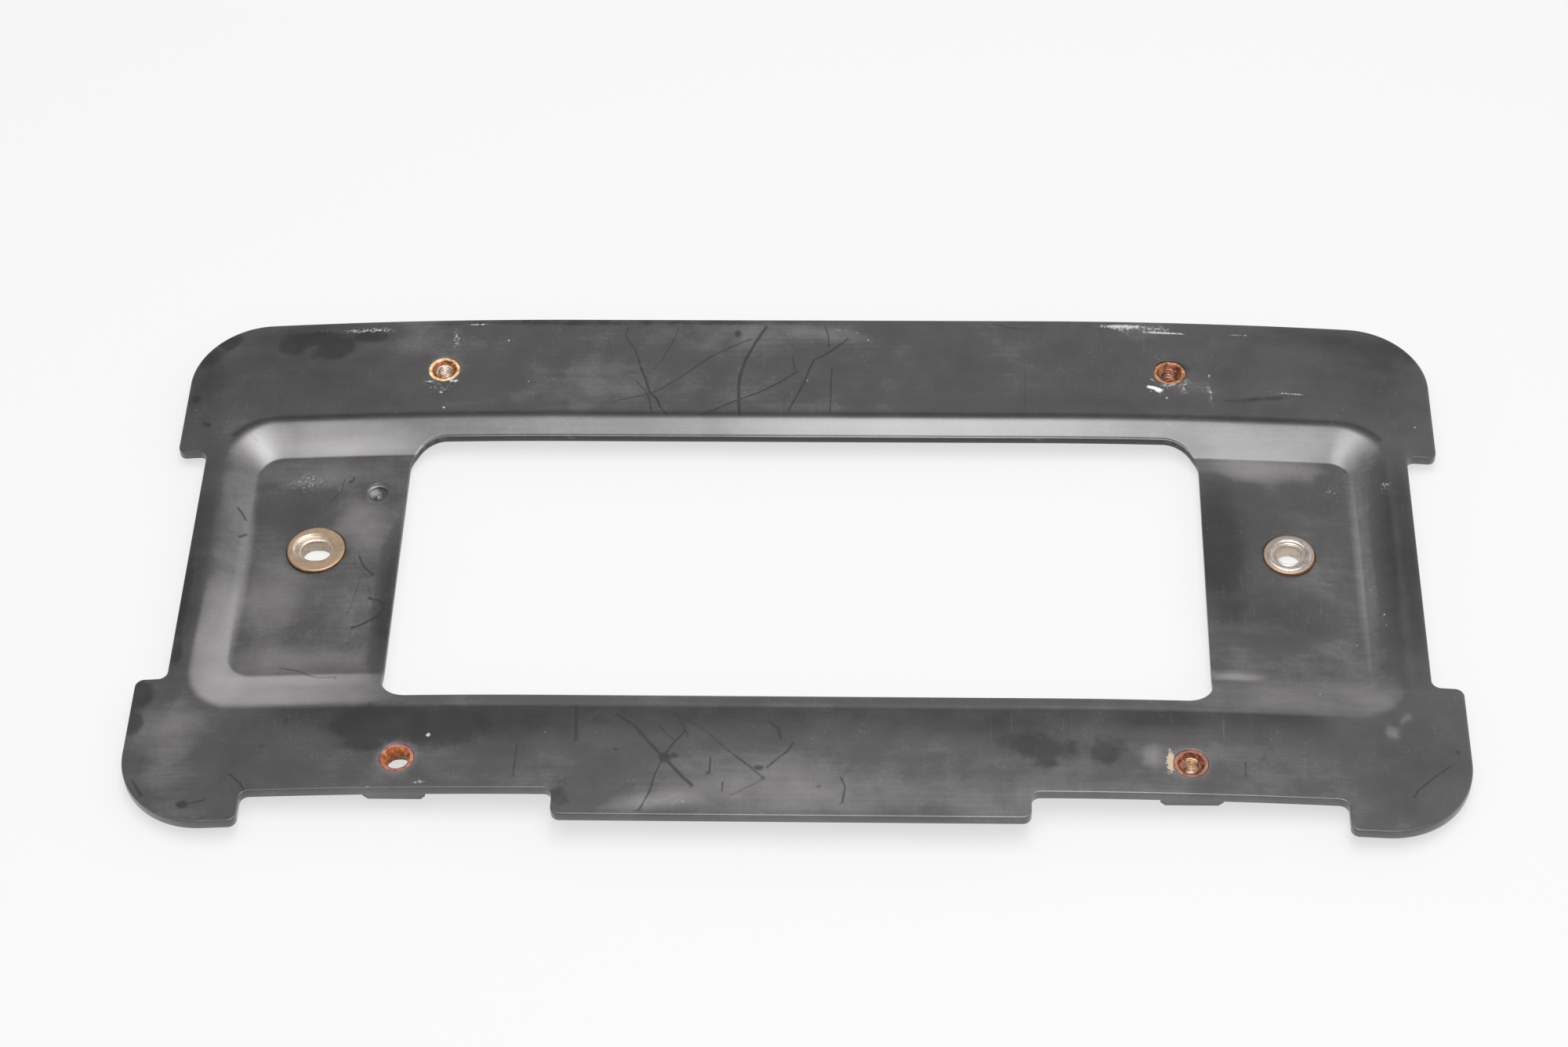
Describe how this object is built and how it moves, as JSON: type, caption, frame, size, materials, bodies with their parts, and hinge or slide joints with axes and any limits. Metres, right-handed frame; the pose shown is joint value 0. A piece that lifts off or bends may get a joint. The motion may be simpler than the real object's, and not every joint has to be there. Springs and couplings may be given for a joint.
{
  "type": "number plate holder",
  "caption": "Bowed moulded plate with a wide window, a shallow pocket, threaded inserts for a plate's screws, and a slotted and a round mounting sleeve.",
  "frame": {"origin": "middle of the outline, at the height of the lowest point of the back", "axes": "+X along the plate to the round sleeve's side, +Y up the plate to its unbroken long edge, +Z out of the face that the number plate lies on"},
  "size_m": [0.304, 0.1546, 0.0091],
  "materials": {
    "moulding": "satin, worn and scuffed",
    "cream_insert": "corroded plating",
    "brown_insert": "rusty",
    "rusted_insert": "heavily rusted",
    "red_insert": "rusty",
    "bronze_sleeve": "tarnished plating",
    "silver_sleeve": "worn plating"
  },
  "bodies": {
    "root": {"base_plate": "moulding", "insert_top_left": "cream_insert", "insert_top_right": "brown_insert", "insert_bottom_left": "rusted_insert", "insert_bottom_right": "red_insert", "sleeve_left": "bronze_sleeve", "sleeve_right": "silver_sleeve"}
  },
  "joints": []
}
